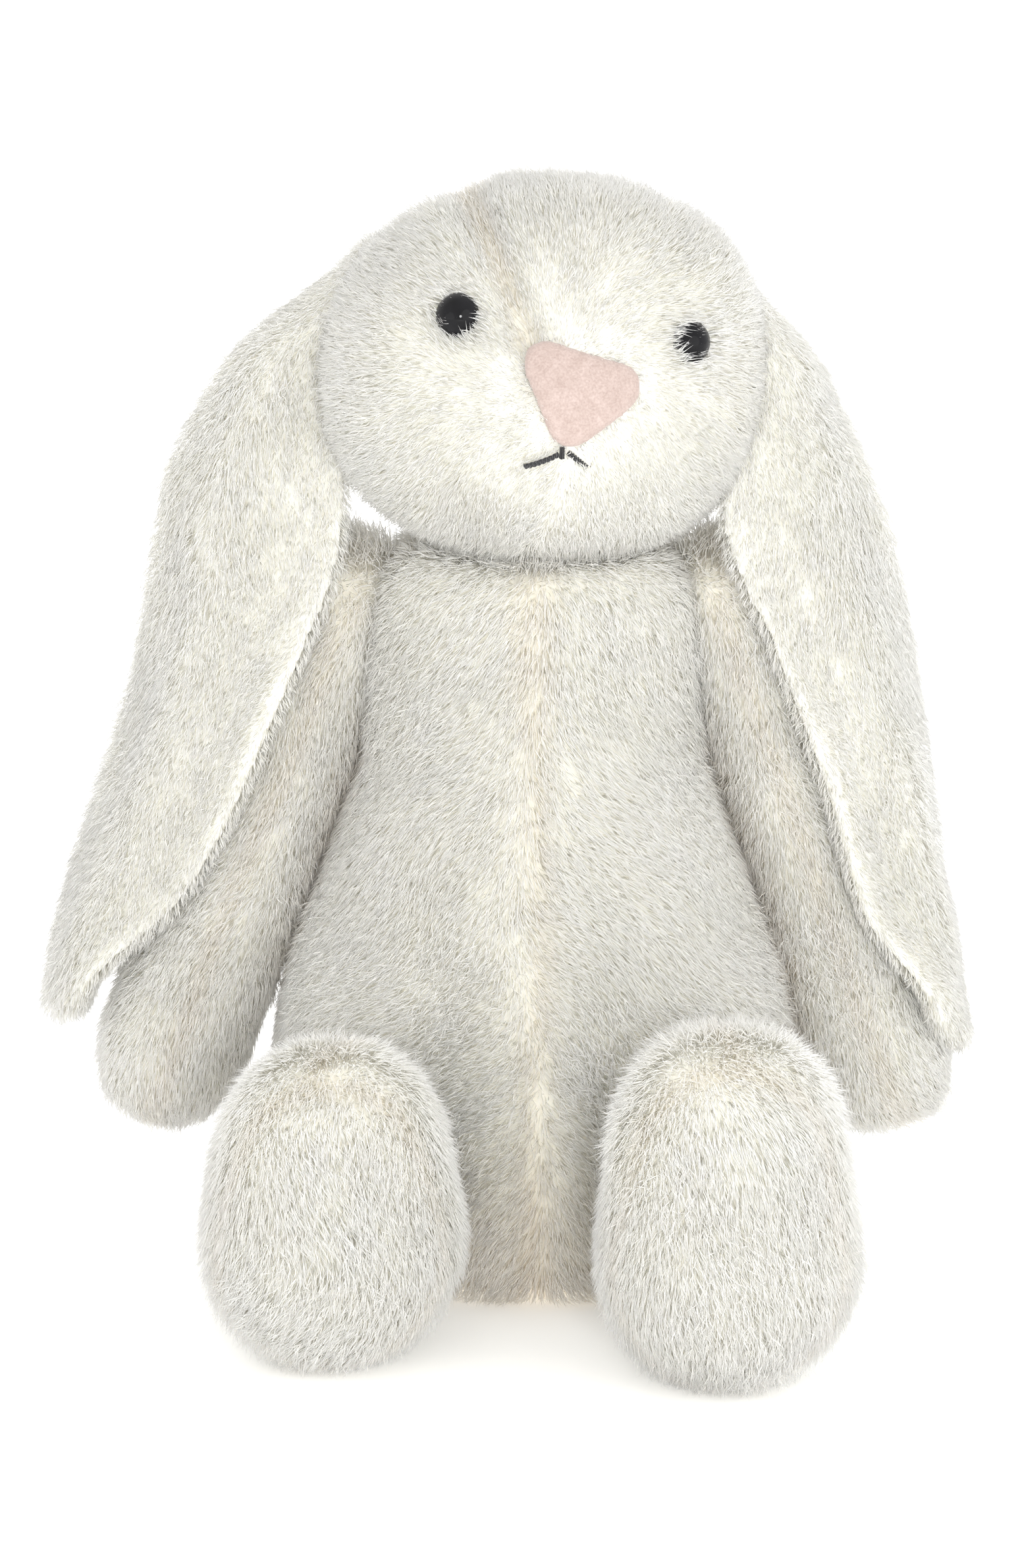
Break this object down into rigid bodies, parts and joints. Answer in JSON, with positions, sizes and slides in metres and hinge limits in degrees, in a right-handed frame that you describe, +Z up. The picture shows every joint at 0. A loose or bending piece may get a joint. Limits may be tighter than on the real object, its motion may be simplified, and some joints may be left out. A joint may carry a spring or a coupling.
{
  "type": "stuffed bunny rabbit",
  "caption": "Seated cream plush rabbit with long drooping ears, pink nose, soft stuffed arms and legs, round tail and a flat weighted seat.",
  "frame": {"origin": "centre of the flat seat, on the surface that the toy sits on", "axes": "+Z up; the face and the feet point along -Y; +X is the toy's own left side"},
  "size_m": [0.1788, 0.177, 0.2069],
  "materials": {
    "plush": "soft cream-white pile",
    "nose_suede": "flat pale pink suede",
    "mouth_thread": "black thread",
    "eye": "glossy black dome",
    "washer": "white plastic",
    "seam_thread": "cream thread",
    "stuffing": "loose polyester fibre",
    "bag_cloth": "plain woven cotton",
    "beans": "small plastic pellets",
    "label_cloth": "blank satin ribbon"
  },
  "bodies": {
    "head": {"left_cheek_panel": "plush", "right_cheek_panel": "plush", "crown_gusset": "plush", "head_back_panel": "plush", "nose_patch": "nose_suede", "left_eye": "eye", "right_eye": "eye", "left_eye_washer": "washer", "right_eye_washer": "washer", "mouth_stitches": "mouth_thread", "head_stuffing": "stuffing"},
    "neck": {"neck_stuffing": "stuffing", "neck_seam_thread": "seam_thread"},
    "left_ear": {"left_ear_outer_panel": "plush", "left_ear_inner_panel": "plush"},
    "right_ear": {"right_ear_outer_panel": "plush", "right_ear_inner_panel": "plush"},
    "torso": {"torso_front_left_panel": "plush", "torso_front_right_panel": "plush", "torso_back_left_panel": "plush", "torso_back_right_panel": "plush", "seat_panel": "plush", "torso_stuffing": "stuffing", "bean_bag": "bag_cloth", "seat_beans": "beans", "back_closing_stitches": "seam_thread", "care_label": "label_cloth"},
    "left_arm": {"left_arm_outer_panel": "plush", "left_arm_inner_panel": "plush", "left_arm_stuffing": "stuffing"},
    "right_arm": {"right_arm_outer_panel": "plush", "right_arm_inner_panel": "plush", "right_arm_stuffing": "stuffing"},
    "left_leg": {"left_leg_outer_panel": "plush", "left_leg_inner_panel": "plush", "left_sole_panel": "plush", "left_leg_stuffing": "stuffing"},
    "right_leg": {"right_leg_outer_panel": "plush", "right_leg_inner_panel": "plush", "right_sole_panel": "plush", "right_leg_stuffing": "stuffing"},
    "tail": {"tail_cover": "plush", "tail_stuffing": "stuffing"}
  },
  "joints": [
    {"name": "neck_turn", "type": "hinge", "parent": "torso", "child": "neck", "pos_m": [0, 0, 0.138], "axis": [0, 0, 1], "range_deg": [-39, 11], "stiffness_Nm_per_rad": 0.15},
    {"name": "head_nod", "type": "hinge", "parent": "neck", "child": "head", "pos_m": [0, 0, 0.138], "axis": [1, 0, 0], "range_deg": [-12, 6], "stiffness_Nm_per_rad": 0.3},
    {"name": "left_ear_lift", "type": "hinge", "parent": "head", "child": "left_ear", "pos_m": [0.0405, -0.002, 0.191], "axis": [0, -1, 0], "range_deg": [0, 100]},
    {"name": "right_ear_lift", "type": "hinge", "parent": "head", "child": "right_ear", "pos_m": [-0.0365, -0.002, 0.194], "axis": [0, 1, 0], "range_deg": [0, 100]},
    {"name": "left_arm_swing", "type": "hinge", "parent": "torso", "child": "left_arm", "pos_m": [0.035, 0, 0.127], "axis": [-0.9455, 0, -0.3256], "range_deg": [-30, 80]},
    {"name": "right_arm_swing", "type": "hinge", "parent": "torso", "child": "right_arm", "pos_m": [-0.035, 0, 0.127], "axis": [0.9304, 0, -0.3665], "range_deg": [-80, 30]},
    {"name": "left_leg_swing", "type": "hinge", "parent": "torso", "child": "left_leg", "pos_m": [0.027, -0.048, 0.0195], "axis": [-1, 0, 0], "range_deg": [-65, 26]},
    {"name": "right_leg_swing", "type": "hinge", "parent": "torso", "child": "right_leg", "pos_m": [-0.027, -0.048, 0.0195], "axis": [-1, 0, 0], "range_deg": [-65, 25]},
    {"name": "tail_wag", "type": "hinge", "parent": "torso", "child": "tail", "pos_m": [0, 0.047, 0.027], "axis": [1, 0, 0], "range_deg": [-5, 5], "stiffness_Nm_per_rad": 0.02}
  ]
}
